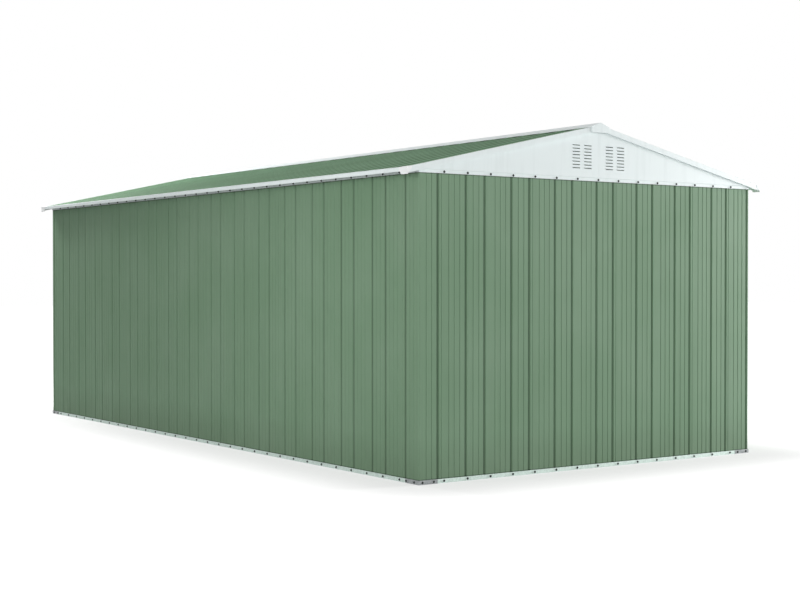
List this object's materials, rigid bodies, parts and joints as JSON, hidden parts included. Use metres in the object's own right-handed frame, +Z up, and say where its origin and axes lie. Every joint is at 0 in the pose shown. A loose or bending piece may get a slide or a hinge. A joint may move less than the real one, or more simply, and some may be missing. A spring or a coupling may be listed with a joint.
{
  "type": "ribbed metal storage shed",
  "caption": "Gabled storage shed of ribbed steel sheet on a folded base rail, with vented gables, white roof trims and a ridge cap.",
  "frame": {"origin": "on the ground at the middle of the shed's outline", "axes": "+X across the shed to its right-hand long side, +Y along its length to the rear gable, +Z up"},
  "size_m": [3.2538, 6.1583, 2.378],
  "materials": {
    "wall_sheet": "satin green paint on ribbed steel sheet",
    "roof_sheet": "satin green paint on ribbed steel sheet",
    "white_trim": "satin white paint on folded steel",
    "zinc_rail": "galvanised folded steel, dull",
    "steel_bracket": "galvanised pressed steel, darker than the rails"
  },
  "bodies": {
    "root": {"base_rail_right": "zinc_rail", "base_rail_left": "zinc_rail", "base_rail_rear": "zinc_rail", "base_rail_front": "zinc_rail", "base_corner_brackets": "steel_bracket", "corner_panel_rear_right": "wall_sheet", "corner_panel_front_left": "wall_sheet", "corner_panel_rear_left": "wall_sheet", "corner_panel_front_right": "wall_sheet", "right_wall_rear_sheets": "wall_sheet", "right_wall_front_sheets": "wall_sheet", "left_wall_rear_sheets": "wall_sheet", "left_wall_front_sheets": "wall_sheet", "rear_wall_sheets": "wall_sheet", "front_wall_right_sheets": "wall_sheet", "front_wall_left_sheets": "wall_sheet", "front_wall_head_sheets": "wall_sheet", "top_rail_right": "zinc_rail", "top_rail_left": "zinc_rail", "gable_rear_right": "white_trim", "gable_rear_left": "white_trim", "gable_front_right": "white_trim", "gable_front_left": "white_trim", "rake_trim_rear_right": "white_trim", "rake_trim_rear_left": "white_trim", "rake_trim_front_right": "white_trim", "rake_trim_front_left": "white_trim", "roof_right_rear_sheets": "roof_sheet", "roof_right_front_sheets": "roof_sheet", "roof_left_rear_sheets": "roof_sheet", "roof_left_front_sheets": "roof_sheet", "eave_trim_right": "white_trim", "eave_trim_left": "white_trim", "eave_corner_caps": "white_trim", "ridge_cap": "white_trim", "ridge_end_caps": "white_trim", "ridge_beam": "zinc_rail", "purlins": "zinc_rail", "roof_trusses": "zinc_rail", "door_frame": "white_trim", "door_leaf_right": "wall_sheet", "door_leaf_left": "wall_sheet", "door_hinges": "steel_bracket", "door_handles": "steel_bracket"}
  },
  "joints": []
}
